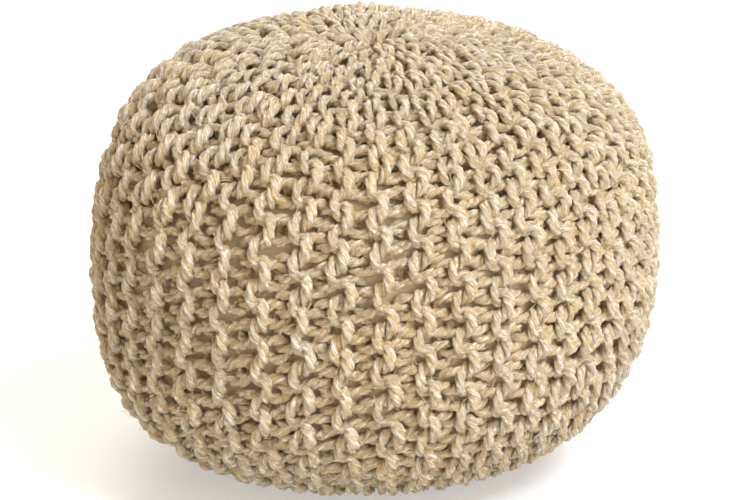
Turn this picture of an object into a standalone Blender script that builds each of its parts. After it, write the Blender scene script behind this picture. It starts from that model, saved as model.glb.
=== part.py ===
"""Round knitted jute pouf: a garter-knit cover of raised ribs, gathered to a small eye on top,
drawn tight over a filled round casing. Metres, +Z up, the flat foot on z = 0.
"""
import math

import bmesh
import bpy
from mathutils import Vector

# Driving sizes of the outer form, measured over the crests of the knitted ribs.
BELLY_RADIUS = 0.240
TOP_RISE = 0.213
FOOT_DROP = 0.164
SQUARENESS = 2.8
FOOT_CUT = 0.94
BELLY_TILT = 0.16
TOP_LEAN = -0.004

# Soft lumps and hollows in the filling, seen from straight above and from the side.
LUMP_COLUMNS = ("azimuth_deg", "latitude_deg", "height_m", "spread_deg")
LUMPS = (
    (180.0, 45.0, 0.010, 25.0),
    (0.0, 45.0, -0.008, 25.0),
    (180.0, -35.0, -0.016, 25.0),
    (0.0, -35.0, -0.002, 25.0),
)

# The knit: how far below the crests the rib's shoulder, its valley and the knit's back lie.
RIB_COUNT = 44
FIRST_RIB_AZIMUTH = -2.961
RIB_CROWDING = 0.14
CREST_INSET = 0.0005
SHOULDER_INSET = 0.0030
VALLEY_INSET = 0.0080
KNIT_BACK_INSET = 0.0200
RIB_STEPS = (CREST_INSET, SHOULDER_INSET, VALLEY_INSET, SHOULDER_INSET)
SMOOTH_INSET = 0.0035

# Ribs fade out towards the two gathers. Every second rib is a short row and ends sooner.
LONG_RIB_END = (0.030, 0.085)
SHORT_RIB_END = (0.070, 0.115)

# The top gather: a tiny open eye, drawn almost shut, in a shallow pucker.
EYE_RADIUS = 0.0035
PUCKER_RADIUS = 0.034
PUCKER_DEPTH = 0.004

# The knit is squashed thin under the foot.
KNIT_UNDER_FOOT = 0.0140
FIT_GAP = 0.0003

OUTER_RINGS = 20
LIP_RINGS = 1
INNER_RINGS = 9
CASING_STEPS_PER_RIB = 2

YARN_COLOUR = (0.60, 0.46, 0.27, 1.0)
CASING_COLOUR = (0.56, 0.41, 0.25, 1.0)


def smooth_step(value, low, high):
    share = min(max((value - low) / (high - low), 0.0), 1.0)
    return share * share * (3.0 - 2.0 * share)


def lump_height(azimuth, latitude):
    """Height of all the soft lumps together, in one direction from the middle of the belly."""
    height = 0.0
    for row in LUMPS:
        lump = dict(zip(LUMP_COLUMNS, row))
        lump_azimuth = math.radians(lump["azimuth_deg"])
        lump_latitude = math.radians(lump["latitude_deg"])
        level = math.cos(latitude) * math.cos(lump_latitude) * math.cos(azimuth - lump_azimuth)
        level += math.sin(latitude) * math.sin(lump_latitude)
        width = 1.0 - math.cos(math.radians(lump["spread_deg"]))
        height += lump["height_m"] * math.exp((level - 1.0) / width)
    return height


def skin_point(azimuth, latitude, inset, lowest):
    """A point of the squashed ball, inset below the crests and never under the height lowest."""
    half_height = (TOP_RISE if latitude > 0.0 else FOOT_DROP) - inset
    run = abs(math.cos(latitude))
    climb = abs(math.sin(latitude))
    reach = (run ** SQUARENESS + climb ** SQUARENESS) ** (-1.0 / SQUARENESS)
    swell = 1.0 + lump_height(azimuth, latitude) / BELLY_RADIUS
    radius = (BELLY_RADIUS - inset) * reach * run * swell
    level = reach * math.sin(latitude)
    height = half_height * level * swell
    x = radius * math.cos(azimuth) + TOP_LEAN * level
    y = radius * math.sin(azimuth)
    height += BELLY_TILT * x * (1.0 - level * level)
    pucker = PUCKER_DEPTH * (1.0 - smooth_step(radius, 0.0, PUCKER_RADIUS)) if latitude > 0.0 else 0.0
    return Vector((x, y, max(height - pucker + FOOT_CUT * FOOT_DROP, lowest)))


def side_azimuth(side, sides):
    """Azimuth of one side of a ring. The ribs crowd together towards +X."""
    turn = FIRST_RIB_AZIMUTH + math.tau * side / sides
    return turn - RIB_CROWDING * math.sin(turn)


def rib_inset(column, latitude):
    """How deep the knit's face lies under the crests, at one of the four columns of a rib."""
    rib, step = divmod(column, len(RIB_STEPS))
    radius = BELLY_RADIUS * math.cos(latitude)
    low, high = SHORT_RIB_END if rib % 2 else LONG_RIB_END
    relief = smooth_step(radius, low, high)
    return SMOOTH_INSET + (RIB_STEPS[step] - SMOOTH_INSET) * relief


def even_latitudes(first, last, count):
    """Latitudes of count rings from first to last, both included."""
    return [first + (last - first) * ring / (count - 1) for ring in range(count)]


def eye_latitude(inset):
    return math.atan2(TOP_RISE - inset, EYE_RADIUS)


def knit_latitudes():
    """The back rings of the knit, which the casing's rings follow."""
    return even_latitudes(eye_latitude(KNIT_BACK_INSET), math.radians(-78.0), INNER_RINGS)


def knit_ring_points(sides):
    """Rings of the knit from the foot up its face, through the eye and down its back."""
    rings = []
    for latitude in even_latitudes(math.radians(-82.0), eye_latitude(SMOOTH_INSET), OUTER_RINGS):
        ring = []
        for column in range(sides):
            azimuth = side_azimuth(column, sides)
            ring.append(skin_point(azimuth, latitude, rib_inset(column, latitude), 0.0))
        rings.append(ring)
    lip_inset = (SMOOTH_INSET + KNIT_BACK_INSET) / 2.0
    lip = [(eye_latitude(lip_inset), lip_inset)] * LIP_RINGS
    back = [(latitude, KNIT_BACK_INSET) for latitude in knit_latitudes()]
    for latitude, inset in lip + back:
        ring = []
        for column in range(sides):
            azimuth = side_azimuth(column, sides)
            ring.append(skin_point(azimuth, latitude, inset, KNIT_UNDER_FOOT))
        rings.append(ring)
    return rings


def shaped_sphere(name, sides, rings, foot, crown):
    """A UV sphere whose poles and rings are moved to the given points, bottom pole first."""
    mesh = bpy.data.meshes.new(name)
    shape = bmesh.new()
    bmesh.ops.create_uvsphere(shape, u_segments=sides, v_segments=len(rings) + 1, radius=1.0)
    for vert in shape.verts:
        polar = math.acos(min(max(-vert.co.z, -1.0), 1.0))
        ring = round(polar / math.pi * (len(rings) + 1))
        if ring == 0:
            vert.co = foot
        elif ring == len(rings) + 1:
            vert.co = crown
        else:
            column = round(math.atan2(vert.co.y, vert.co.x) / math.tau * sides) % sides
            vert.co = rings[ring - 1][column]
    shape.to_mesh(mesh)
    shape.free()
    mesh.shade_smooth()
    return bpy.data.objects.new(name, mesh)


def cloth_material(name, colour, roughness):
    material = bpy.data.materials.new(name)
    material.use_nodes = True
    shader = material.node_tree.nodes["Principled BSDF"]
    shader.inputs["Base Color"].default_value = colour
    shader.inputs["Roughness"].default_value = roughness
    shader.inputs["Metallic"].default_value = 0.0
    return material


def make_knit_cover():
    """The knitted cover: one thick skin with its ribs raised and an open eye on top."""
    rings = knit_ring_points(RIB_COUNT * len(RIB_STEPS))
    bottom = -math.pi / 2.0
    foot = skin_point(0.0, bottom, 0.0, 0.0)
    back = skin_point(0.0, bottom, KNIT_BACK_INSET, KNIT_UNDER_FOOT)
    cover = shaped_sphere("knit_cover", RIB_COUNT * len(RIB_STEPS), rings, foot, back)
    cover.data.materials.append(cloth_material("jute_yarn", YARN_COLOUR, 0.85))
    return cover


def make_inner_casing():
    """The filled round casing, a fit gap inside the back of the knit."""
    inset = KNIT_BACK_INSET + FIT_GAP
    lowest = KNIT_UNDER_FOOT + FIT_GAP
    sides = RIB_COUNT * CASING_STEPS_PER_RIB
    rings = []
    for latitude in reversed(knit_latitudes()):
        ring = []
        for side in range(sides):
            ring.append(skin_point(side_azimuth(side, sides), latitude, inset, lowest))
        rings.append(ring)
    foot = skin_point(0.0, -math.pi / 2.0, inset, lowest)
    crown = skin_point(0.0, math.pi / 2.0, inset, lowest)
    casing = shaped_sphere("inner_casing", sides, rings, foot, crown)
    casing.data.materials.append(cloth_material("casing_cotton", CASING_COLOUR, 0.9))
    return casing


def centre_on_foot(pieces, measured):
    """Move the meshes sideways so that the measured piece's box is centred on the origin."""
    xs = [vert.co.x for vert in measured.data.vertices]
    ys = [vert.co.y for vert in measured.data.vertices]
    shift = Vector(((min(xs) + max(xs)) / 2.0, (min(ys) + max(ys)) / 2.0, 0.0))
    for piece in pieces:
        for vert in piece.data.vertices:
            vert.co -= shift


def main():
    for old in list(bpy.data.objects):
        bpy.data.objects.remove(old, do_unlink=True)
    parts = bpy.data.collections.new("round_knitted_pouf")
    bpy.context.scene.collection.children.link(parts)
    cover = make_knit_cover()
    casing = make_inner_casing()
    centre_on_foot([cover, casing], cover)
    for piece in (cover, casing):
        parts.objects.link(piece)


main()
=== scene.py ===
# %% [markdown]
# # A round knitted pouf, yarn by yarn
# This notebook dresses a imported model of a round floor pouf: a cover hand-knitted from thick plied jute,
# gathered at the top and drawn over a filled round casing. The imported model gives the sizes. Everything
# that shows is built here, in metres, in the same frame. First the frame is loaded and its box kept.

# %% Load the frame
import math

import bpy
import numpy as np
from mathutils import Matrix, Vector


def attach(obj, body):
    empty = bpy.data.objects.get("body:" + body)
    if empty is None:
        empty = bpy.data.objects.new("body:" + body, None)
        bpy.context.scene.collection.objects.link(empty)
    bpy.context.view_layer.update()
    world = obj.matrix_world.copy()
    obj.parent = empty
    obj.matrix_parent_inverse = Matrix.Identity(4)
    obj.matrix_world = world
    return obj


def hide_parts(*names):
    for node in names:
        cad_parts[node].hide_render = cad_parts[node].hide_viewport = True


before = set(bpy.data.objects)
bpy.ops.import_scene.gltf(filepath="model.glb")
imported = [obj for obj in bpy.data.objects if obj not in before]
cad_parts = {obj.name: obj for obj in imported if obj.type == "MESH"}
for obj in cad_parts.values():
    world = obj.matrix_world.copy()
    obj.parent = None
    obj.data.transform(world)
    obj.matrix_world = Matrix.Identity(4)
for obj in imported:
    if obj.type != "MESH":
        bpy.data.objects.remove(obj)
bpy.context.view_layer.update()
print("solids in the frame:", sorted(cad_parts))

# %% [markdown]
# ## The camera
# The camera stands well back with a long lens and looks down on the pouf by eighteen degrees. A near
# camera would bulge the belly and crowd the outer ribs; from 5 m the ribs keep their places right to the
# edge, as in the photograph. The lens and the aim then give the outline its size and place.

# %% The camera
CAMERA_DISTANCE = 5.0
CAMERA_TILT = math.radians(18.0)
CAMERA_AIM = Vector((0.0006, 0.0, 0.1736))
LENS_MM = 286.0
SENSOR_MM = 36.0


def add_object(name, data):
    """A new object that holds the given data, linked to the scene."""
    added = bpy.data.objects.new(name, data)
    bpy.context.scene.collection.objects.link(added)
    return added


camera_data = bpy.data.cameras.new("camera")
camera_data.lens = LENS_MM
camera_data.sensor_width = SENSOR_MM
camera = add_object("camera", camera_data)
away = Vector((0.0, -math.cos(CAMERA_TILT), math.sin(CAMERA_TILT)))
camera.location = CAMERA_AIM + away * CAMERA_DISTANCE
camera.rotation_euler = (-away).to_track_quat("-Z", "Y").to_euler()
bpy.context.scene.camera = camera
print("camera at", [round(value, 3) for value in camera.location], "m")

# %% [markdown]
# ## The squashed ball
# A filled pouf is no true ball: its own weight flattens the foot, the shoulders stay boxy, and this one's
# belly leans. A sphere could be sculpted to match, but every stitch must sit on this surface, so it is a
# formula: a superellipse in profile, with a tilted belly and a few soft lumps. The formula takes arrays,
# and an inset below the outermost yarn, so that one function places the yarn and the casing. The solids
# follow the same formula and sizes, all but the last lump, so the yarn lies where their ribs are.

# %% Soft lumps in the filling
BELLY_RADIUS = 0.240

# columns: azimuth and latitude in degrees, height in metres, spread in degrees
# the last row is the small knob that shows behind the gather
LUMPS = (
    (180.0, 45.0, 0.010, 25.0),
    (0.0, 45.0, -0.008, 25.0),
    (180.0, -35.0, -0.016, 25.0),
    (0.0, -35.0, -0.002, 25.0),
    (95.0, 60.0, 0.0045, 6.0),
)


def smooth_step(value, low, high):
    """A smooth rise from 0 at low to 1 at high, for numbers or arrays."""
    share = np.clip((value - low) / (high - low), 0.0, 1.0)
    return share * share * (3.0 - 2.0 * share)


def lump_height(azimuth, latitude):
    """Height of all the soft lumps together, in each direction from the middle of the belly."""
    height = np.zeros(np.broadcast(azimuth, latitude).shape)
    for lump_azimuth, lump_latitude, lump_rise, spread in np.array(LUMPS):
        across = np.cos(azimuth - np.radians(lump_azimuth))
        level = np.cos(latitude) * np.cos(np.radians(lump_latitude)) * across
        level = level + np.sin(latitude) * np.sin(np.radians(lump_latitude))
        height += lump_rise * np.exp((level - 1.0) / (1.0 - np.cos(np.radians(spread))))
    return height


left_shoulder = lump_height(math.pi, math.radians(45.0))
print("the left shoulder stands", round(float(left_shoulder) * 1000.0, 1), "mm proud")

# %% The ball as a formula
TOP_RISE = 0.213
FOOT_DROP = 0.164
SQUARENESS = 2.8
FOOT_CUT = 0.94
BELLY_TILT = 0.16
TOP_LEAN = -0.004
PUCKER_RADIUS = 0.034
PUCKER_DEPTH = 0.004
KNIT_BACK_INSET = 0.0200
KNIT_UNDER_FOOT = 0.0140


def skin_points(azimuth, latitude, inset, shift=(0.0, 0.0)):
    """Points of the squashed ball, inset below its outermost yarn, as an array of x, y, z."""
    azimuth, latitude, inset = np.broadcast_arrays(azimuth, latitude, inset)
    half_height = np.where(latitude > 0.0, TOP_RISE, FOOT_DROP) - inset
    run = np.abs(np.cos(latitude))
    climb = np.abs(np.sin(latitude))
    reach = (run ** SQUARENESS + climb ** SQUARENESS) ** (-1.0 / SQUARENESS)
    swell = 1.0 + lump_height(azimuth, latitude) / BELLY_RADIUS
    radius = (BELLY_RADIUS - inset) * reach * run * swell
    level = reach * np.sin(latitude)
    x = radius * np.cos(azimuth) + TOP_LEAN * level
    y = radius * np.sin(azimuth)
    pucker = PUCKER_DEPTH * (1.0 - smooth_step(radius, 0.0, PUCKER_RADIUS)) * (latitude > 0.0)
    z = half_height * level * swell + BELLY_TILT * x * (1.0 - level * level) - pucker
    z = np.maximum(z + FOOT_CUT * FOOT_DROP, inset * KNIT_UNDER_FOOT / KNIT_BACK_INSET)
    return np.stack([x - shift[0], y - shift[1], z], axis=-1)


pucker_bottom = skin_points(0.0, math.pi / 2.0, 0.0)[2]
print("the bottom of the pucker is", round(float(pucker_bottom) * 1000.0), "mm up")

# %% Centre the ball sideways
CREST_INSET = 0.0005
SWEEP_SIDES = 720
SWEEP_RINGS = 360

sweep_azimuth, sweep_latitude = np.meshgrid(
    np.linspace(0.0, math.tau, SWEEP_SIDES + 1),
    np.linspace(-math.pi / 2.0, math.pi / 2.0, SWEEP_RINGS + 1),
)
sweep = skin_points(sweep_azimuth, sweep_latitude, CREST_INSET)
CENTRE = tuple((sweep[..., axis].min() + sweep[..., axis].max()) / 2.0 for axis in (0, 1))
print("sideways centring:", [round(value * 1000.0, 2) for value in CENTRE], "mm")

# %% [markdown]
# ## Laying out the rows
# The cover is knitted sideways: each row of stitches runs from the top gather over the belly to the foot,
# and every two rows raise one rib. Forty-four ribs fit round the belly but not round the gather, so the
# knitter turns some rows early. Drawing those by hand would take as many lists as there are rows. Here
# each row has an end radius, taken from an evenly scattered order, and a share of the way round that
# shrinks to almost nothing past its end, so the rows that go on spread out into the room.

# %% Where each row ends
ROW_COUNT = 88
RIB_WIDTH_AT_GATHER = 0.0130
GOLDEN = 0.6180339887

rib_order = np.argsort(np.argsort((np.arange(ROW_COUNT // 2) * GOLDEN) % 1.0))
rib_end_radius = (rib_order + 1.0) * RIB_WIDTH_AT_GATHER / math.tau
row_end_radius = np.repeat(rib_end_radius, 2)
nearest_end = row_end_radius.min()
farthest_end = row_end_radius.max()
print("rows end", round(nearest_end * 1000.0), "to", round(farthest_end * 1000.0), "mm from the axis")

# %% Share the way round among the rows
FIRST_RIB_AZIMUTH = -2.961
RIB_CROWDING = 0.14
FADE_LENGTH = 0.018
LEAST_SHARE = 0.02
SHARE_STEPS = 240


def row_shares(radius):
    """Each row's share of the way round, at an array of distances from the pouf's axis."""
    reach = (radius[None, :] - row_end_radius[:, None]) / FADE_LENGTH
    return np.clip(reach + 1.0, LEAST_SHARE, 1.0)


share_radii = np.linspace(0.0, BELLY_RADIUS, SHARE_STEPS + 1)
shares = row_shares(share_radii)
row_edge = np.concatenate([np.zeros((1, len(share_radii))), np.cumsum(shares, axis=0)])
row_edge = FIRST_RIB_AZIMUTH + row_edge / shares.sum(axis=0) * math.tau - math.tau / ROW_COUNT
row_edge = row_edge - RIB_CROWDING * np.sin(row_edge)
row_middle = (row_edge[1:] + row_edge[:-1]) / 2.0
row_width = row_edge[1:] - row_edge[:-1]
rows_that_pass = row_shares(np.array([0.060])) > 0.5
print("rows that pass a ring of 60 mm radius:", int(rows_that_pass.sum()), "of", ROW_COUNT)

# %% [markdown]
# ## The way over the ball
# A knitter counts stitches along the row, so the rows need distances over the ball and not angles. One
# meridian, from the top pole to the foot, is measured step by step, as a tape laid over the pouf would
# measure it, and its length is shared among the stitches. Each row uses the part that its two ends leave.

# %% Measure a meridian
STITCHES_PER_ROW = 24
MERIDIAN_STEPS = 720
MERIDIAN_INSET = 0.010

meridian_latitude = np.linspace(math.pi / 2.0, -math.pi / 2.0, MERIDIAN_STEPS + 1)
meridian = skin_points(math.pi / 2.0, meridian_latitude, MERIDIAN_INSET)
step_lengths = np.linalg.norm(np.diff(meridian, axis=0), axis=1)
meridian_length = np.concatenate([[0.0], np.cumsum(step_lengths)])
meridian_radius = np.hypot(meridian[:, 0], meridian[:, 1])
MERIDIAN = meridian_length[-1]
STITCH_LENGTH = MERIDIAN / STITCHES_PER_ROW
print("meridian", round(MERIDIAN * 1000.0), "mm, one stitch", round(STITCH_LENGTH * 1000.0, 1), "mm")

# %% Where a row starts and stops
LEAST_STITCHES = 3


def row_span(row):
    """First and last place of a row along the meridian, and its number of stitches."""
    inside = np.where(meridian_radius >= row_end_radius[row])[0]
    first = meridian_length[inside[0]]
    last = meridian_length[inside[-1]]
    count = max(int(round((last - first) / STITCH_LENGTH)), LEAST_STITCHES)
    return first, last, count


stitch_counts = [row_span(row)[2] for row in range(ROW_COUNT)]
print(min(stitch_counts), "to", max(stitch_counts), "stitches a row,", sum(stitch_counts), "in all")

# %% [markdown]
# ## Uneven hands
# No loop of hand knitting is like the next: the yarn runs thick and thin, and the knitter's pull changes.
# Moving every point by itself would only fray the yarn, so both kinds of unevenness here are slow ones.
# The first draws a value or two for each stitch and blends them along the row. The second shifts whole
# patches of the cover, with all the rows in them. Both have fixed seeds.

# %% Random values along a row
ROW_SEED = 84

# spreads: metres along the row and across it, and shares of the loops' reach and of the yarn's thickness
WANDER = 0.0026
SWAY = 0.0011
SWELL = 0.10
SLUBS = 0.08

rng = np.random.default_rng(ROW_SEED)
print("the rows are drawn with seed", ROW_SEED)


def uneven(stitch, middle, spread, per_stitch=1):
    """Random values round a middle, so many for each stitch, blended along the steps of a row."""
    count = int(round(stitch[-1])) * per_stitch + 2
    values = rng.normal(middle, spread, count)
    return np.interp(per_stitch * stitch, np.arange(count), values)


# %% Restless near the gather
GATHER_UNREST = 0.8
RESTLESS_STITCH = 0.28 * STITCHES_PER_ROW
CALM_STITCH = 0.42 * STITCHES_PER_ROW


def unrest_at(stitch):
    """How much more the loops stray up to the restless stitch, fading to none from the calm one on."""
    return 1.0 + GATHER_UNREST * smooth_step(-stitch, -CALM_STITCH, -RESTLESS_STITCH)


print("loops stray", unrest_at(0.0), "times as much at the gather as on the belly")

# %% Soft noise over the cover
NOISE_CELLS_ROUND = 9
NOISE_CELLS_ALONG = 8
SIDE_NOISE = 0.0022
SIDE_NOISE_SEED = 11
SIDE_NOISE_NEAREST = 0.03
DEPTH_NOISE = 0.0008
DEPTH_NOISE_SEED = 12


def soft_noise(angle, along, seed):
    """Smooth random values over the skin, about -1 to 1, from a small grid that closes round the pouf."""
    cells = (NOISE_CELLS_ROUND, NOISE_CELLS_ALONG + 2)
    grid = np.random.default_rng(seed).uniform(-1.0, 1.0, cells)
    across = (angle / math.tau * NOISE_CELLS_ROUND) % NOISE_CELLS_ROUND
    down = np.clip(along, 0.0, 1.0) * NOISE_CELLS_ALONG
    left = np.floor(across).astype(int)
    low = np.floor(down).astype(int)
    side = smooth_step(across - left, 0.0, 1.0)
    rise = smooth_step(down - low, 0.0, 1.0)
    here = left % NOISE_CELLS_ROUND
    beside = (left + 1) % NOISE_CELLS_ROUND
    near = grid[here, low] * (1 - rise) + grid[here, low + 1] * rise
    far = grid[beside, low] * (1 - rise) + grid[beside, low + 1] * rise
    return near * (1 - side) + far * side


def patch_shift(azimuth, along, radius):
    """How far each place of the cover is shifted round the pouf, as an angle, and in depth."""
    side = soft_noise(azimuth, along, SIDE_NOISE_SEED) * SIDE_NOISE
    depth = soft_noise(azimuth, along, DEPTH_NOISE_SEED) * DEPTH_NOISE
    return side / np.maximum(radius, SIDE_NOISE_NEAREST), depth


belt = soft_noise(np.linspace(0.0, math.tau, 60), 0.5, SIDE_NOISE_SEED)
print("soft noise round the belly runs from", round(belt.min(), 2), "to", round(belt.max(), 2))

# %% [markdown]
# ## One garter stitch as a formula
# A knitted row is one wavy yarn. Along the row it moves on and swings back, which makes each loop wider at
# its head than at its neck; across the row it rises to the head and falls to the sinker; and it dives
# through the loops of the rows beside it. Garter stitch turns the dive round on every second row, so heads
# and sinkers meet at the front as a rib and at the back as a hollow. One loop could be drawn and copied,
# but near the gather the loops crowd and the yarn is squeezed, and the bars between the ribs are pulled
# thin, so sums of sines give each loop its own path.

# %% The stitch along its row
MILLIMETRE = 0.001

# swings in stitches, to either side
FRONT_SWING = 0.205
BACK_SWING = 0.130
FRONT_EDGE = 0.3
GATHER_POWER = 1.25
STITCH_SKEW = 0.9 * MILLIMETRE
POLE_GAP = 0.001


def way_along(span, turn, front, wander):
    """How far down the meridian each step of a row lies. The stitches crowd towards the gather."""
    first, last, count = span
    stitch = turn / math.tau
    swing = BACK_SWING + (FRONT_SWING - BACK_SWING) * smooth_step(front, -FRONT_EDGE, FRONT_EDGE)
    swing = swing * np.sin(2.0 * turn)
    crowded = ((stitch / count) ** GATHER_POWER) * count
    run = first + (last - first) * (crowded + swing) / count + wander
    run = run + STITCH_SKEW * np.cos(turn)
    return np.clip(run, POLE_GAP, MERIDIAN - POLE_GAP)


front_swing_length = FRONT_SWING * STITCH_LENGTH
print("the front loops swing by", round(front_swing_length * 1000.0, 1), "mm along the row")

# %% The stitch across its row
YARN_RADIUS = 0.0050
LOOP_REACH = 0.0138
OVERLAP_IN_RADII = 1.25
END_REACH = 0.45
FULL_ROW_WIDTH = 0.0145
SQUEEZE_BASE = 0.35
LEAST_SQUEEZE = 0.72


def squeeze_in(width):
    """What is left of the yarn's thickness in a row of a given width, as a share."""
    squeeze = SQUEEZE_BASE + (1.0 - SQUEEZE_BASE) * width / FULL_ROW_WIDTH
    return np.clip(squeeze, LEAST_SQUEEZE, 1.0)


def loop_reach(width, squeeze, swell, ends):
    """How far the loops reach sideways from the middle of their row, into the rows beside it."""
    reach = np.minimum(LOOP_REACH, 0.5 * width + OVERLAP_IN_RADII * YARN_RADIUS * squeeze) * swell
    return reach * (END_REACH + (1.0 - END_REACH) * ends)


print("the widest loops reach", round(LOOP_REACH * 1000.0, 1), "mm from the middle of their row")

# %% The yarn's thickness
HEAD_SWELL = 0.08
BAR_THINNING = 0.12
BAR_EDGES = (-0.3, 0.5)


def yarn_thickness(turn, front, slubs, squeeze):
    """The yarn's radius along a row: slubbed, squeezed, and drawn thin in the bars between the ribs."""
    thickness = YARN_RADIUS * (1.0 + HEAD_SWELL * np.cos(turn) * (front > 0.0))
    thickness = thickness * slubs
    return thickness * squeeze * (1.0 - BAR_THINNING * smooth_step(-front, *BAR_EDGES))


bar_width = 2.0 * YARN_RADIUS * (1.0 - BAR_THINNING)
print("yarn", round(2000.0 * YARN_RADIUS, 1), "mm thick,", round(bar_width * 1000.0, 1), "mm in the bars")

# %% The path of one row
STEPS_PER_STITCH = 26
RIB_DEPTH = 0.0046
DIVE_DEPTH = 0.0022
NEAREST_TO_AXIS = 0.006
FLOOR_CLEARANCE = 1.03

# the two ends of a row tuck in under the rows that go on, over this length
END_TUCK = 0.016
END_LENGTH = 0.02


def row_path(row):
    """Centre line of one knitted row, its radius, and how deep it lies as a share of the knit."""
    span = row_span(row)
    first, last, count = span
    turn = np.linspace(0.0, count * math.tau, count * STEPS_PER_STITCH + 1)
    stitch = turn / math.tau
    wander = uneven(stitch, 0.0, WANDER)
    swell = uneven(stitch, 1.0, SWELL)
    slubs = uneven(stitch, 1.0, SLUBS, per_stitch=2)
    sway = uneven(stitch, 0.0, SWAY)
    unrest = unrest_at(stitch)
    facing = 1.0 if row % 2 == 0 else -1.0
    front = facing * np.cos(turn)
    run = way_along(span, turn, front, wander * unrest)
    latitude = np.interp(run, meridian_length, meridian_latitude)
    radius = np.interp(run, meridian_length, meridian_radius)
    middle = np.interp(radius, share_radii, row_middle[row])
    width = np.interp(radius, share_radii, row_width[row]) * radius
    squeeze = squeeze_in(width)
    ends = smooth_step(run, first, first + END_LENGTH) * smooth_step(-run, -last, -last + END_LENGTH)
    sideways = loop_reach(width, squeeze, swell, ends) * np.cos(turn) + sway * unrest
    azimuth = middle + sideways / np.maximum(radius, NEAREST_TO_AXIS)
    dive = RIB_DEPTH * np.cos(turn) + DIVE_DEPTH * np.cos(3.0 * turn)
    inset = YARN_RADIUS + RIB_DEPTH + DIVE_DEPTH - facing * dive + END_TUCK * (1.0 - ends)
    side_shift, depth_shift = patch_shift(azimuth, run / MERIDIAN, radius)
    points = skin_points(azimuth + side_shift, latitude, inset + depth_shift, CENTRE)
    thickness = yarn_thickness(turn, front, slubs, squeeze)
    points[:, 2] = np.maximum(points[:, 2], thickness * FLOOR_CLEARANCE)
    return points, thickness, inset / KNIT_BACK_INSET


knit_depth = 2.0 * (YARN_RADIUS + RIB_DEPTH + DIVE_DEPTH)
print("the knit is", round(knit_depth * 1000.0, 1), "mm deep from its front loops to its back loops")

# %% [markdown]
# ## Rows as lines
# A yarn is swept along a centre line. A curve object would do for one row, but a mesh of edges holds many
# rows at once and carries as many named values on its points as the tree and the material want: the yarn's
# radius, its depth in the knit, its length so far, and one tint for the row.

# %% Rows as lines
# each row takes its twist and its patterns from another stretch of the yarn, this far on
METRES_BETWEEN_ROWS = 3.7


def keep_values(mesh, label, values):
    """Stores one number for each point of a mesh under a name."""
    attribute = mesh.attributes.new(label, "FLOAT", "POINT")
    attribute.data.foreach_set("value", values.astype(np.float32))


def yarn_lines(name, rows):
    """A mesh of edges, one chain for each row, with the named values on its points."""
    points, edges = [], []
    kept = {"thickness": [], "depth": [], "along": [], "tint": []}
    start = 0
    for row in rows:
        path, thickness, depth = row_path(row)
        steps = np.linalg.norm(np.diff(path, axis=0), axis=1)
        along = np.concatenate([[0.0], np.cumsum(steps)]) + row * METRES_BETWEEN_ROWS
        tint = np.full(len(path), rng.uniform(0.0, 1.0))
        kept["thickness"].append(thickness)
        kept["depth"].append(depth)
        kept["along"].append(along)
        kept["tint"].append(tint)
        points.append(path)
        chain = np.arange(start, start + len(path) - 1)
        edges.append(np.stack([chain, chain + 1], axis=1))
        start += len(path)
    mesh = bpy.data.meshes.new(name)
    mesh.from_pydata(np.concatenate(points).tolist(), np.concatenate(edges).tolist(), [])
    for label, values in kept.items():
        keep_values(mesh, label, np.concatenate(values))
    return add_object(name, mesh)


print("each row starts", METRES_BETWEEN_ROWS, "m further along the yarn's patterns")

# %% [markdown]
# ## Building node trees by name
# The yarn and its fuzz each get a Geometry Nodes tree. A tree can be drawn by hand in the editor, but one
# that is built in the script can be read, and its sizes are named inputs. A few helpers keep that short:
# one adds any node and feeds it by the names of its inputs, and one ends a tree with real geometry and its
# material, because instances would be lost when the model leaves Blender.

# %% Helpers for node trees
def feed(tree, value, socket):
    """Links a value that is a socket, or sets a plain one."""
    if isinstance(value, bpy.types.NodeSocket):
        tree.links.new(value, socket)
    else:
        socket.default_value = value


def put_node(tree, kind, inputs, **settings):
    """Adds a node with its settings, feeds its inputs, and returns its outputs."""
    node = tree.nodes.new(kind)
    for setting, value in settings.items():
        setattr(node, setting, value)
    for socket, value in inputs.items():
        feed(tree, value, node.inputs[socket])
    return node.outputs


def calculate(tree, operation, *values):
    """A Math node on sockets or numbers."""
    return put_node(tree, "ShaderNodeMath", dict(enumerate(values)), operation=operation)[0]


def new_tree(name, inputs, output):
    """A tree with named inputs and their values, and one geometry output."""
    tree = bpy.data.node_groups.new(name, "GeometryNodeTree")
    for label, kind, value in inputs:
        socket = tree.interface.new_socket(label, in_out="INPUT", socket_type="NodeSocket" + kind)
        if value is not None:
            socket.default_value = value
    tree.interface.new_socket(output, in_out="OUTPUT", socket_type="NodeSocketGeometry")
    given = tree.nodes.new("NodeGroupInput").outputs
    result = tree.nodes.new("NodeGroupOutput").inputs
    return tree, given, result


def end_tree(tree, geometry, finish, result):
    """Makes instances real, sets the material and hands the geometry over."""
    real = put_node(tree, "GeometryNodeRealizeInstances", {"Geometry": geometry})[0]
    finished = put_node(tree, "GeometryNodeSetMaterial", {"Geometry": real, "Material": finish})[0]
    tree.links.new(finished, result)
    print("tree", tree.name, "has", len(tree.nodes), "nodes")


# %% Grow a mesh with a tree
def grow(lines, tree, inputs, name):
    """Runs a tree on a mesh and keeps the result as a plain mesh object of the given name."""
    modifier = lines.modifiers.new(name, "NODES")
    modifier.node_group = tree
    sockets = {item.name: item.identifier for item in tree.interface.items_tree if item.in_out == "INPUT"}
    for label, value in inputs.items():
        modifier[sockets[label]] = value
    depsgraph = bpy.context.evaluated_depsgraph_get()
    mesh = bpy.data.meshes.new_from_object(lines.evaluated_get(depsgraph), depsgraph=depsgraph)
    lines.modifiers.remove(modifier)
    bpy.data.objects.remove(lines, do_unlink=True)
    return add_object(name, mesh)


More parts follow.
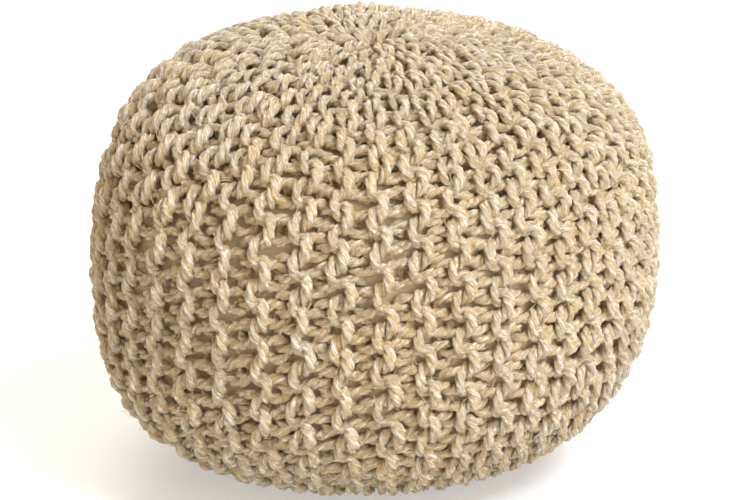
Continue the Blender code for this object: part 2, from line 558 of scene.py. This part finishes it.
# %% [markdown]
# ## Twisting the yarn
# Jute pouf yarn is plied: three soft strands laid round each other. A plain tube with a stripe would show
# a smooth outline, so the tube's section is a three-lobed rosette, and Geometry Nodes turns it as it
# sweeps it along each row. The tree also stores where each point lies round the strands, for the material.

# %% The rosette section
YARN_SIDES = 9
PLIES = 3
GROOVE_DEPTH = 0.36


def read_attribute(tree, label):
    """A named value of the points."""
    outputs = put_node(tree, "GeometryNodeInputNamedAttribute", {"Name": label}, data_type="FLOAT")
    return outputs["Attribute"]


def store(tree, geometry, label, value):
    """Keeps a value on the points under a name."""
    inputs = {"Geometry": geometry, "Name": label, "Value": value}
    return put_node(tree, "GeometryNodeStoreNamedAttribute", inputs, data_type="FLOAT", domain="POINT")[0]


def rosette_section(tree, given):
    """A ring of radius 1 with a hollow between every two plies, whose points know their angle."""
    circle = {"Radius": 1.0, "Resolution": given["Sides"]}
    ring = put_node(tree, "GeometryNodeCurvePrimitiveCircle", circle)["Curve"]
    index = put_node(tree, "GeometryNodeInputIndex", {})[0]
    turn = calculate(tree, "MULTIPLY", calculate(tree, "DIVIDE", index, given["Sides"]), math.tau)
    lobes = calculate(tree, "COSINE", calculate(tree, "MULTIPLY", turn, given["Ply Count"]))
    hollow = calculate(tree, "MULTIPLY", calculate(tree, "MAXIMUM", lobes, 0.0), given["Groove Depth"])
    spread = calculate(tree, "SUBTRACT", 1.0, hollow)
    place = put_node(tree, "GeometryNodeInputPosition", {})[0]
    scaled = put_node(tree, "ShaderNodeVectorMath", {0: place, "Scale": spread}, operation="SCALE")[0]
    rosette = put_node(tree, "GeometryNodeSetPosition", {"Geometry": ring, "Position": scaled})[0]
    section = store(tree, rosette, "round_cos", calculate(tree, "COSINE", turn))
    return store(tree, section, "round_sin", calculate(tree, "SINE", turn))


print("the yarn's section has", YARN_SIDES, "sides and", PLIES, "plies")

# %% The yarn tree
TWIST_PITCH = 0.030
YARN_INPUTS = (
    ("Rows", "Geometry", None),
    ("Sides", "Int", YARN_SIDES),
    ("Ply Count", "Int", PLIES),
    ("Groove Depth", "Float", GROOVE_DEPTH),
    ("Twist Pitch", "Float", TWIST_PITCH),
    ("Yarn Finish", "Material", None),
)


def make_yarn_tree():
    """Sweeps the rosette along the rows, turning it once in every twist pitch."""
    tree, given, result = new_tree("plied_yarn", YARN_INPUTS, "Yarn")
    section = rosette_section(tree, given)
    rows = put_node(tree, "GeometryNodeMeshToCurve", {"Mesh": given["Rows"]})[0]
    twist = calculate(tree, "DIVIDE", read_attribute(tree, "along"), given["Twist Pitch"])
    tilt = calculate(tree, "MULTIPLY", twist, -math.tau)
    twisted = put_node(tree, "GeometryNodeSetCurveTilt", {"Curve": rows, "Tilt": tilt})[0]
    sweep_inputs = {
        "Curve": twisted,
        "Profile Curve": section,
        "Scale": read_attribute(tree, "thickness"),
        "Fill Caps": True,
    }
    tube = put_node(tree, "GeometryNodeCurveToMesh", sweep_inputs)[0]
    smooth = put_node(tree, "GeometryNodeSetShadeSmooth", {0: tube})[0]
    end_tree(tree, smooth, given["Yarn Finish"], result["Yarn"])
    return tree


yarn_tree = make_yarn_tree()

# %% [markdown]
# ## The jute itself
# Jute is a pale straw bast fibre with a silky shine. Each ply shows fine long fibres: gold where they
# bunch, brown between them, with dull spots here and there. Over that the colour holds painted light:
# painted glints on the fibres, painted highlights on the crests of the plies, painted shade in the grooves
# of the twist, and a painted warm shade where the yarn dives into the knit. A texture laid over the whole
# ball would ignore the twist. This finish reads the values that the yarn carries, so its streaks run along
# the plies and round every bend.

# %% Short ways to add shader nodes
# a Mix node has many sockets, and these are the ones that mix colours
MIX_SHARE = 0
MIX_FIRST = 6
MIX_SECOND = 7
MIX_RESULT = 2


class Shade:
    """A material with its shader, and a few short ways to add nodes to it."""

    def __init__(self, name):
        self.material = bpy.data.materials.new(name)
        self.material.use_nodes = True
        self.tree = self.material.node_tree
        self.shader = self.tree.nodes["Principled BSDF"]

    def put(self, value, socket):
        feed(self.tree, value, socket)

    def attribute(self, label):
        return put_node(self.tree, "ShaderNodeAttribute", {}, attribute_name=label)["Fac"]

    def math(self, operation, *values):
        return calculate(self.tree, operation, *values)

    def vector(self, x, y, z):
        return put_node(self.tree, "ShaderNodeCombineXYZ", {0: x, 1: y, 2: z})[0]

    def object_place(self):
        return put_node(self.tree, "ShaderNodeTexCoord", {})["Object"]

    def noise(self, place, scale, detail=2.0, roughness=0.5):
        inputs = {"Vector": place, "Scale": scale, "Detail": detail, "Roughness": roughness}
        return put_node(self.tree, "ShaderNodeTexNoise", inputs)["Fac"]

    def remap(self, value, low, high, to_low=0.0, to_high=1.0):
        settings = dict(enumerate((value, low, high, to_low, to_high)))
        return put_node(self.tree, "ShaderNodeMapRange", settings)[0]

    def blend(self, share, first, second):
        inputs = {MIX_SHARE: share, MIX_FIRST: first, MIX_SECOND: second}
        return put_node(self.tree, "ShaderNodeMix", inputs, data_type="RGBA")[MIX_RESULT]

    def bump(self, height, strength, distance, under=None):
        inputs = {"Strength": strength, "Distance": distance, "Height": height}
        if under is not None:
            inputs["Normal"] = under
        return put_node(self.tree, "ShaderNodeBump", inputs)[0]


# %% Patterns on the yarn
FIBRE_STRETCH = 0.20
STRAND_SCALE = 1400.0
FIBRE_SCALE = 1800.0
TUFT_SCALE = 260.0
PLY_STRETCH = 30.0
PLY_SCALE = 0.9
PATCH_SCALE = 14.0
DULL_SCALE = 42.0


def yarn_patterns(jute):
    """What the colours follow: the plies' lobes, long fibres, tufts, broad patches and dull spots."""
    cosine = jute.attribute("round_cos")
    sine = jute.attribute("round_sin")
    along = jute.attribute("along")
    round_turn = jute.math("ARCTAN2", sine, cosine)
    skin = jute.vector(
        jute.math("MULTIPLY", cosine, YARN_RADIUS),
        jute.math("MULTIPLY", sine, YARN_RADIUS),
        jute.math("MULTIPLY", along, FIBRE_STRETCH),
    )
    ply_place = jute.vector(cosine, sine, jute.math("MULTIPLY", along, PLY_STRETCH))
    return {
        "lobe": jute.math("COSINE", jute.math("MULTIPLY", round_turn, float(PLIES))),
        "strands": jute.noise(skin, STRAND_SCALE, 2.0, 0.7),
        "fibres": jute.noise(skin, FIBRE_SCALE, 1.0, 0.5),
        "tufts": jute.noise(skin, TUFT_SCALE, 2.0, 0.5),
        "plies": jute.noise(ply_place, PLY_SCALE, 1.0),
        "patches": jute.noise(jute.object_place(), PATCH_SCALE, 3.0, 0.6),
        "dull": jute.noise(jute.object_place(), DULL_SCALE, 2.0, 0.5),
    }


print("a strand of fibres is about", round(1000.0 / STRAND_SCALE, 1), "mm wide")

# %% The colours of jute
# a painted highlight: near white, painted on the crests of the plies and as glints on the fibres
PAINTED_HIGHLIGHT = (0.99, 0.97, 0.92, 1.0)
STRAW = (0.97, 0.88, 0.71, 1.0)
GOLD = (0.95, 0.71, 0.32, 1.0)
FIBRE_SHADE = (0.68, 0.42, 0.12, 1.0)
# painted shade for the grooves between the plies
PAINTED_GROOVE_SHADE = (0.78, 0.48, 0.14, 1.0)
# painted warm shade for the yarn that lies deep in the knit
PAINTED_DEEP_SHADE = (0.97, 0.68, 0.33, 1.0)
DULL = (0.68, 0.53, 0.33, 1.0)

# how a pattern becomes a share of a colour: the pattern's low and high, then the share's, if not 0 and 1
GOLD_OF_PLIES = (0.3, 0.7)
GOLD_OF_TUFTS = (0.4, 0.75, -0.3, 0.5)
GOLD_OF_PATCHES = (0.35, 0.65, -0.55, 0.55)
GOLD_RANGE = (0.0, 1.6)
CREST_OF_LOBE = (0.1, -1.0)
CREST_OF_TUFTS = (0.4, 0.6, 0.2, 1.0)
SHADE_OF_STREAK = (0.0, 1.0, 0.95, 0.0)
PAINTED_GLINT_OF_STRANDS = (0.53, 0.64, 0.0, 0.9)
PAINTED_SHADE_OF_DEPTH = (0.35, 0.95, 0.0, 0.55)
DULL_RANGE = (0.52, 0.70, 0.0, 0.55)
TINT_SHARE = 0.2
CREST_HIGHLIGHT_SHARE = 0.78
GROOVE_SHADE_SHARE = 0.35


def jute_colour(jute, pattern, streak, groove):
    """Straw to gold, with painted highlights on the crests, shade between the fibres, painted glints,
    painted shade in the grooves and deep in the knit, and dull spots.
    """
    gold = jute.remap(pattern["plies"], *GOLD_OF_PLIES)
    gold = jute.math("ADD", gold, jute.remap(pattern["tufts"], *GOLD_OF_TUFTS))
    gold = jute.math("ADD", gold, jute.remap(pattern["patches"], *GOLD_OF_PATCHES))
    gold = jute.math("ADD", gold, jute.math("MULTIPLY", jute.attribute("tint"), TINT_SHARE))
    colour = jute.blend(jute.remap(gold, *GOLD_RANGE), STRAW, GOLD)
    # painted highlight: the crest of each ply is painted near white, whatever the light
    crest_highlight = jute.remap(pattern["lobe"], *CREST_OF_LOBE)
    crest_highlight = jute.math("MULTIPLY", crest_highlight, jute.remap(pattern["tufts"], *CREST_OF_TUFTS))
    colour = jute.blend(jute.math("MULTIPLY", crest_highlight, CREST_HIGHLIGHT_SHARE), colour, PAINTED_HIGHLIGHT)
    colour = jute.blend(jute.remap(streak, *SHADE_OF_STREAK), colour, FIBRE_SHADE)
    # painted glints: the brightest strands are painted near white
    colour = jute.blend(jute.remap(pattern["strands"], *PAINTED_GLINT_OF_STRANDS), colour, PAINTED_HIGHLIGHT)
    # painted shade: the grooves of the twist are painted darker
    colour = jute.blend(jute.math("MULTIPLY", groove, GROOVE_SHADE_SHARE), colour, PAINTED_GROOVE_SHADE)
    # painted shade: the deeper the yarn lies in the knit, the warmer and more saturated it is painted, as
    # for light that bounces there
    colour = jute.blend(jute.remap(jute.attribute("depth"), *PAINTED_SHADE_OF_DEPTH), colour, PAINTED_DEEP_SHADE)
    return jute.blend(jute.remap(pattern["dull"], *DULL_RANGE), colour, DULL)


print("the jute runs from straw", STRAW[:3], "to gold", GOLD[:3])

# %% Jute finish
GROOVE_OF_LOBE = (0.35, 1.0)
STREAK_OF_STRANDS = (0.40, 0.55, 0.0, 0.75)
STREAK_OF_FIBRES = (0.4, 0.6, 0.0, 0.25)
SHADED_ROUGHNESS = 0.55
SILKY_ROUGHNESS = 0.30
JUTE_GLOSS_LEVEL = 0.85
PLY_BUMP = 0.3
FIBRE_BUMP = 1.0
BUMP_DEPTH = 0.0012


def jute_finish():
    """The yarn's material: its colour, a silky gloss on the fibres, and bump of the plies and fibres."""
    jute = Shade("jute_yarn_finish")
    pattern = yarn_patterns(jute)
    groove = jute.remap(pattern["lobe"], *GROOVE_OF_LOBE)
    streak = jute.remap(pattern["strands"], *STREAK_OF_STRANDS)
    streak = jute.math("ADD", streak, jute.remap(pattern["fibres"], *STREAK_OF_FIBRES))
    jute.put(jute_colour(jute, pattern, streak, groove), jute.shader.inputs["Base Color"])
    gloss = jute.remap(streak, 0.0, 1.0, SHADED_ROUGHNESS, SILKY_ROUGHNESS)
    jute.put(gloss, jute.shader.inputs["Roughness"])
    jute.shader.inputs["Specular IOR Level"].default_value = JUTE_GLOSS_LEVEL
    ply_bump = jute.bump(jute.math("SUBTRACT", 1.0, groove), PLY_BUMP, BUMP_DEPTH)
    jute.put(jute.bump(streak, FIBRE_BUMP, BUMP_DEPTH, ply_bump), jute.shader.inputs["Normal"])
    return jute.material


yarn_finish = jute_finish()
print(yarn_finish.name, "has", len(yarn_finish.node_tree.nodes), "nodes")

# %% [markdown]
# ## Knitting the cover
# The real cover is knitted flat in one go and sewn up. Here every row is a yarn of its own, and the rows
# are made in six gores, like the segments of an orange, because one mesh of the whole knit would be too
# heavy to handle. The gores have no seams between them: each is whole rows, and their loops pass through
# each other.

# %% Knit the rows
GORES = 6


def dress(piece, node):
    """Hands a finished piece to the frame, in place of the named solid."""
    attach(piece, "root")
    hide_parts(node)


def triangle_count(piece):
    return sum(len(face.vertices) - 2 for face in piece.data.polygons)


knit_pieces = []
for gore in range(GORES):
    rows = range(gore * ROW_COUNT // GORES, (gore + 1) * ROW_COUNT // GORES)
    lines = yarn_lines(f"row_lines_{gore + 1}", rows)
    piece = grow(lines, yarn_tree, {"Yarn Finish": yarn_finish}, f"knit_rows_{gore + 1}")
    dress(piece, "knit_cover")
    knit_pieces.append(piece)
    print(piece.name, triangle_count(piece), "triangles")

# %% [markdown]
# ## Stray fibres
# Jute is never clean: short fibres work loose from the twist and stand off the yarn, which softens every
# edge. Bump can't show them against the light, so a few thousand bent hairs are scattered over the yarn's
# outer side by a second tree. Only the side that shows is sown, and nothing grows under the foot.

# %% Where the hairs grow
BALL_MIDDLE = (0.0, 0.0, 0.16)
UPWARDS = (0.0, 0.0, 1.0)
OUTWARD_SHARE = 0.3
BARE_HEIGHT = 0.02


def vector_math(tree, operation, *values):
    """A Vector Math node on sockets or tuples."""
    outputs = put_node(tree, "ShaderNodeVectorMath", dict(enumerate(values)), operation=operation)
    return outputs["Value"] if operation == "DOT_PRODUCT" else outputs[0]


def sown_side(tree, given):
    """True where the yarn faces away from the pouf's middle and lies above the foot."""
    place = put_node(tree, "GeometryNodeInputPosition", {})[0]
    normal = put_node(tree, "GeometryNodeInputNormal", {})[0]
    from_middle = vector_math(tree, "SUBTRACT", place, BALL_MIDDLE)
    away_from_middle = vector_math(tree, "NORMALIZE", from_middle)
    facing = vector_math(tree, "DOT_PRODUCT", normal, away_from_middle)
    height = vector_math(tree, "DOT_PRODUCT", place, UPWARDS)
    outward = calculate(tree, "GREATER_THAN", facing, OUTWARD_SHARE)
    raised = calculate(tree, "GREATER_THAN", height, given["Bare Height"])
    return calculate(tree, "MULTIPLY", outward, raised)


print("no hair grows lower than", round(BARE_HEIGHT * 1000.0), "mm")

# %% One hair
HAIR_ROOT = (0.0, 0.0, -0.0006)
HAIR_BEND = (0.0035, 0.0, 0.0034)
HAIR_TIP = (0.0110, 0.0, 0.0012)
HAIR_STEPS = 3
HAIR_SIDES = 3


def one_hair(tree, given):
    """A bent hair that starts just under the yarn's surface."""
    line = {"Resolution": HAIR_STEPS, "Start": HAIR_ROOT, "Middle": HAIR_BEND, "End": HAIR_TIP}
    bend = put_node(tree, "GeometryNodeCurveQuadraticBezier", line)[0]
    circle = {"Resolution": given["Hair Sides"], "Radius": given["Hair Radius"]}
    ring = put_node(tree, "GeometryNodeCurvePrimitiveCircle", circle)["Curve"]
    inputs = {"Curve": bend, "Profile Curve": ring, "Fill Caps": True}
    return put_node(tree, "GeometryNodeCurveToMesh", inputs)[0]


print("a hair of scale 1 reaches", round(HAIR_TIP[0] * 1000.0), "mm from its root")

# %% Random values in a tree
def random_value(tree, kind, low, high, seed):
    """A Random Value node of a kind, with its lowest and highest values."""
    node = tree.nodes.new("FunctionNodeRandomValue")
    node.data_type = kind
    for socket in node.inputs:
        if socket.enabled and socket.name in ("Min", "Max"):
            feed(tree, low if socket.name == "Min" else high, socket)
    node.inputs["Seed"].default_value = seed
    return next(socket for socket in node.outputs if socket.enabled)


# %% The fibre tree
LEAST_LEAN = (-0.6, -0.5, 0.0)
MOST_LEAN = (0.6, 0.5, math.tau)
LEAN_SEED = 3
LENGTH_SEED = 4
FIBRE_INPUTS = (
    ("Yarn", "Geometry", None),
    ("Density", "Float", 4600.0),
    ("Hair Radius", "Float", 0.00018),
    ("Hair Sides", "Int", HAIR_SIDES),
    ("Shortest", "Float", 0.3),
    ("Longest", "Float", 1.2),
    ("Bare Height", "Float", BARE_HEIGHT),
    ("Seed", "Int", 0),
    ("Fibre Finish", "Material", None),
)


def make_fibre_tree():
    """Scatters hairs over the yarn's outer side, each with its own lean, spin and length."""
    tree, given, result = new_tree("stray_fibres", FIBRE_INPUTS, "Fibres")
    sowing = {
        "Mesh": given["Yarn"],
        "Selection": sown_side(tree, given),
        "Density": given["Density"],
        "Seed": given["Seed"],
    }
    scatter = put_node(tree, "GeometryNodeDistributePointsOnFaces", sowing)
    lean = random_value(tree, "FLOAT_VECTOR", LEAST_LEAN, MOST_LEAN, LEAN_SEED)
    spin = put_node(tree, "FunctionNodeEulerToRotation", {0: lean})[0]
    turning = {"Rotation": scatter["Rotation"], "Rotate By": spin}
    turned = put_node(tree, "FunctionNodeRotateRotation", turning, rotation_space="LOCAL")[0]
    planting = {
        "Points": scatter["Points"],
        "Instance": one_hair(tree, given),
        "Rotation": turned,
        "Scale": random_value(tree, "FLOAT", given["Shortest"], given["Longest"], LENGTH_SEED),
    }
    hairs = put_node(tree, "GeometryNodeInstanceOnPoints", planting)[0]
    end_tree(tree, hairs, given["Fibre Finish"], result["Fibres"])
    return tree


fibre_tree = make_fibre_tree()

# %% [markdown]
# ## Sowing the fibres
# Loose fibres are the same jute, but too thin to show any streaks, so their finish only drifts from straw
# to gold. One mesh could hold all the fuzz, but each gore of the knit is sown by itself, with its number
# as the seed, so that the meshes stay small and no two gores repeat the same hairs.

# %% Sow the fibres
LOOSE_FIBRE_SCALE = 90.0
LOOSE_FIBRE_RANGE = (0.3, 0.7)
LOOSE_FIBRE_ROUGHNESS = 0.5


def fibre_finish():
    fibre = Shade("jute_fibre_finish")
    shades = fibre.remap(fibre.noise(fibre.object_place(), LOOSE_FIBRE_SCALE), *LOOSE_FIBRE_RANGE)
    fibre.put(fibre.blend(shades, STRAW, GOLD), fibre.shader.inputs["Base Color"])
    fibre.shader.inputs["Roughness"].default_value = LOOSE_FIBRE_ROUGHNESS
    return fibre.material


loose_fibre = fibre_finish()
for number, yarn in enumerate(knit_pieces, start=1):
    sown = add_object(f"sown_{number}", yarn.data)
    settings = {"Seed": number, "Fibre Finish": loose_fibre}
    fibres = grow(sown, fibre_tree, settings, f"stray_fibres_{number}")
    dress(fibres, "knit_cover")
    print(fibres.name, triangle_count(fibres), "triangles")

# %% [markdown]
# ## The casing
# Inside the cover sits a round casing of plain cotton, filled tight. It shows as warm beige between the
# rungs of the knit, so it needs the right place and a soft woven look more than detail. Its points carry
# their way round and up in metres, so that the threads of the weave keep their size over the belly.

# %% The casing's shape
CASING_GAP = 0.0003
CASING_INSET = KNIT_BACK_INSET + CASING_GAP
CASING_SIDES = 96
CASING_RINGS = 40
LOWEST_RING = math.radians(-88.0)
HIGHEST_RING = math.radians(88.5)


def casing_faces():
    """Quads between the rings, and a fan of triangles to the foot and to the crown."""
    top_ring = (CASING_RINGS - 1) * CASING_SIDES
    foot = CASING_RINGS * CASING_SIDES
    crown = foot + 1
    faces = []
    for side in range(CASING_SIDES):
        after = (side + 1) % CASING_SIDES
        faces.append((after, side, foot))
        faces.append((top_ring + side, top_ring + after, crown))
        for low in range(0, top_ring, CASING_SIDES):
            high = low + CASING_SIDES
            faces.append((low + side, low + after, high + after, high + side))
    return faces


print("the casing has", len(casing_faces()), "faces")


def make_casing():
    """The filled ball inside the knit, with its way round and up stored on its points."""
    latitudes = np.linspace(LOWEST_RING, HIGHEST_RING, CASING_RINGS)
    azimuths = np.linspace(0.0, math.tau, CASING_SIDES, endpoint=False)
    grid = skin_points(azimuths[None, :], latitudes[:, None], CASING_INSET, CENTRE)
    foot = skin_points(0.0, -math.pi / 2.0, CASING_INSET, CENTRE)
    crown = skin_points(0.0, math.pi / 2.0, CASING_INSET, CENTRE)
    points = np.concatenate([grid.reshape(-1, 3), foot[None, :], crown[None, :]])
    mesh = bpy.data.meshes.new("casing")
    mesh.from_pydata(points.tolist(), [], casing_faces())
    mesh.shade_smooth()
    turn = np.concatenate([np.tile(azimuths, CASING_RINGS), [0.0, 0.0]])
    rise = np.concatenate([np.repeat(latitudes, CASING_SIDES), [latitudes[0], latitudes[-1]]])
    keep_values(mesh, "turn", turn * BELLY_RADIUS)
    keep_values(mesh, "rise", rise * BELLY_RADIUS)
    return add_object("casing", mesh)


# %% The casing's cloth
CASING_COLOUR = (0.98, 0.84, 0.62, 1.0)
CASING_SHADE = (0.93, 0.72, 0.47, 1.0)
THREAD_PITCH = 0.0018
NAP_SCALE = 260.0
CASING_ROUGHNESS = 0.9
CASING_GLOSS_LEVEL = 0.1
SHADE_OF_WEAVE = (-1.0, 1.0, 0.0, 0.5)
SHADE_OF_NAP = (0.35, 0.65, 0.0, 0.5)
WEAVE_BUMP = 0.8
WEAVE_DEPTH = 0.0008


def casing_finish():
    """Plain woven cotton: two sets of threads that cross, under a soft nap."""
    cotton = Shade("casing_cotton_finish")
    threads = math.tau / THREAD_PITCH
    weft = cotton.math("SINE", cotton.math("MULTIPLY", cotton.attribute("rise"), threads))
    warp = cotton.math("SINE", cotton.math("MULTIPLY", cotton.attribute("turn"), threads))
    weave = cotton.math("MULTIPLY", weft, warp)
    nap = cotton.noise(cotton.object_place(), NAP_SCALE, 3.0, 0.7)
    shade = cotton.remap(weave, *SHADE_OF_WEAVE)
    shade = cotton.math("ADD", shade, cotton.remap(nap, *SHADE_OF_NAP))
    cotton.put(cotton.blend(shade, CASING_SHADE, CASING_COLOUR), cotton.shader.inputs["Base Color"])
    cotton.shader.inputs["Roughness"].default_value = CASING_ROUGHNESS
    cotton.shader.inputs["Specular IOR Level"].default_value = CASING_GLOSS_LEVEL
    cotton.put(cotton.bump(shade, WEAVE_BUMP, WEAVE_DEPTH), cotton.shader.inputs["Normal"])
    return cotton.material


casing = make_casing()
casing.data.materials.append(casing_finish())
dress(casing, "inner_casing")
print(casing.name, triangle_count(casing), "triangles")

# %% [markdown]
# ## The lights
# The photograph is a studio cut-out with soft light from all round, brightest from high on the right,
# which leaves the left side in half shade. Area lamps would fall off across the floor, so three soft suns
# do the work: a cool key light high on the right, a fill from lower in front, and a third from behind for
# the other sides. A warm sky then colours the shadows between the loops, as light that bounces about in
# jute does.

# %% The lights
KEY_FROM = Vector((1.8, -1.1, 2.8))
KEY_STRENGTH = 3.3
KEY_SOFTNESS = math.radians(20.0)
KEY_COLOUR = (0.79, 0.87, 1.0)
FILL_FROM = Vector((1.0, -1.7, 0.8))
FILL_STRENGTH = 1.35
FILL_SOFTNESS = math.radians(40.0)
FILL_COLOUR = (0.97, 0.95, 0.90)
BACK_FROM = Vector((0.3, 2.0, 1.5))
BACK_STRENGTH = 2.1
BACK_SOFTNESS = math.radians(60.0)
BACK_COLOUR = (1.0, 0.97, 0.92)
SKY_STRENGTH = 0.62
SKY_COLOUR = (1.0, 0.83, 0.55, 1.0)


def add_sun(name, direction, strength, softness, colour):
    light = bpy.data.lights.new(name, "SUN")
    light.energy = strength
    light.angle = softness
    light.color = colour
    sun = add_object(name, light)
    sun.rotation_euler = direction.to_track_quat("Z", "Y").to_euler()
    print(name, "of strength", strength)


add_sun("key_light", KEY_FROM, KEY_STRENGTH, KEY_SOFTNESS, KEY_COLOUR)
add_sun("fill_light", FILL_FROM, FILL_STRENGTH, FILL_SOFTNESS, FILL_COLOUR)
add_sun("back_light", BACK_FROM, BACK_STRENGTH, BACK_SOFTNESS, BACK_COLOUR)
sky = bpy.data.worlds.new("studio")
bpy.context.scene.world = sky
sky.use_nodes = True
sky.node_tree.nodes["Background"].inputs["Color"].default_value = SKY_COLOUR
sky.node_tree.nodes["Background"].inputs["Strength"].default_value = SKY_STRENGTH
bpy.context.scene.view_settings.view_transform = "Standard"

# %% [markdown]
# ## The floor
# The ground of the photograph is plain white, with no shadow to speak of. A white floor would take a
# strong shadow from the key light, so this one is grey paper that glows softly: the light and the glow
# together come out white, and only a faint shadow is left.

# %% The floor
FLOOR_SIZE = 12.0
FLOOR_COLOUR = (0.5, 0.5, 0.5, 1.0)
FLOOR_GLOW = (1.0, 0.99, 0.97, 1.0)
FLOOR_GLOW_STRENGTH = 0.42

bpy.ops.mesh.primitive_plane_add(size=FLOOR_SIZE, location=(0.0, 0.0, 0.0))
floor = bpy.context.object
floor.name = "floor"
paper = Shade("floor_finish")
paper.shader.inputs["Base Color"].default_value = FLOOR_COLOUR
paper.shader.inputs["Emission Color"].default_value = FLOOR_GLOW
paper.shader.inputs["Emission Strength"].default_value = FLOOR_GLOW_STRENGTH
floor.data.materials.append(paper.material)
print(floor.name, "of", FLOOR_SIZE, "m")
